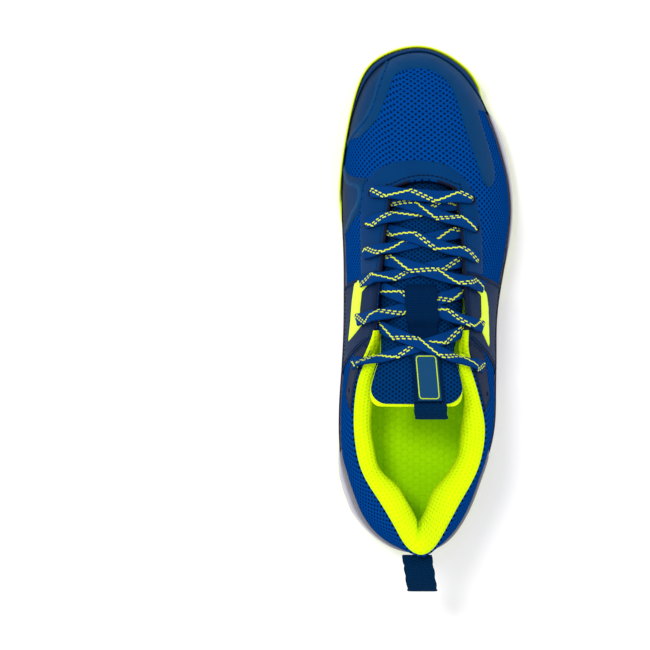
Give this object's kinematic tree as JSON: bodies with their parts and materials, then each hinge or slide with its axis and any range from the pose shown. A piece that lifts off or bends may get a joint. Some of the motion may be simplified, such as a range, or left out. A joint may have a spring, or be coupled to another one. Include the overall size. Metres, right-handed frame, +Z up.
{
  "type": "court shoe",
  "caption": "Low laced indoor court shoe for the right foot: knit upper with film overlays, padded tongue and collar, foam midsole and gum rubber outsole.",
  "frame": {"origin": "centre of the bounding box in plan, on the ground plane under the outsole", "axes": "+Y towards the toe, +X towards the outer (lateral) side of a right foot, +Z up"},
  "size_m": [0.1034, 0.3173, 0.1216],
  "materials": {
    "knit": "matt knit",
    "film_toe": "satin film",
    "toe_guard": "satin moulded",
    "film_eyestay": "satin film",
    "film_side": "satin film",
    "bracket": "matt moulded",
    "strap": "coated textile",
    "ankle": "matt synthetic leather",
    "heel_band": "matt moulded",
    "lining": "smooth textile",
    "stiffener": "raw sheet",
    "midsole": "matt foam",
    "outsole": "gum rubber, satin",
    "shank": "hard plastic",
    "board": "non-woven",
    "insole": "textile over foam",
    "collar": "padded mesh",
    "foam": "open-cell foam",
    "tongue_mesh": "mesh",
    "webbing": "woven webbing",
    "label": "woven label",
    "lace": "flat woven lace",
    "aglet": "glossy film"
  },
  "bodies": {
    "shoe": {"upper_knit_shell": "knit", "toe_cap_film": "film_toe", "medial_toe_guard": "toe_guard", "eyestay_film": "film_eyestay", "lateral_sidewall_film": "film_side", "medial_side_bracket": "bracket", "lateral_side_bracket": "bracket", "medial_midfoot_strap": "strap", "lateral_midfoot_strap": "strap", "medial_ankle_panel": "ankle", "lateral_ankle_panel": "ankle", "heel_stabiliser_band": "heel_band", "forefoot_lining": "lining", "toe_puff": "stiffener", "heel_counter": "stiffener", "midsole": "midsole", "outsole_forefoot": "outsole", "outsole_heel": "outsole", "midfoot_shank": "shank", "strobel_board": "board", "collar_lining": "collar", "collar_foam": "foam", "lace": "lace", "lace_aglet_medial": "aglet", "lace_aglet_lateral": "aglet"},
    "tongue": {"tongue_outer_mesh": "tongue_mesh", "tongue_foam": "foam", "tongue_lining": "collar", "tongue_webbing_keeper": "webbing", "tongue_label": "label"},
    "tongue_loop": {"tongue_pull_loop": "webbing"},
    "heel_tab": {"heel_pull_tab": "webbing"},
    "insole": {"sockliner": "insole"}
  },
  "joints": [
    {"name": "tongue_press", "type": "hinge", "parent": "shoe", "child": "tongue", "pos_m": [0, 0.076, 0.066], "axis": [1, 0, 0], "range_deg": [0, 0.8]},
    {"name": "tongue_loop_swing", "type": "hinge", "parent": "tongue", "child": "tongue_loop", "pos_m": [0, -0.0504, 0.1204], "axis": [-1, 0, 0], "range_deg": [0, 70]},
    {"name": "heel_tab_swing", "type": "hinge", "parent": "shoe", "child": "heel_tab", "pos_m": [0, -0.1389, 0.086], "axis": [1, 0, 0], "range_deg": [-25, 45]},
    {"name": "insole_lift", "type": "hinge", "parent": "shoe", "child": "insole", "pos_m": [0, 0.14, 0.026], "axis": [-1, 0, 0], "range_deg": [0, 1.5]}
  ]
}
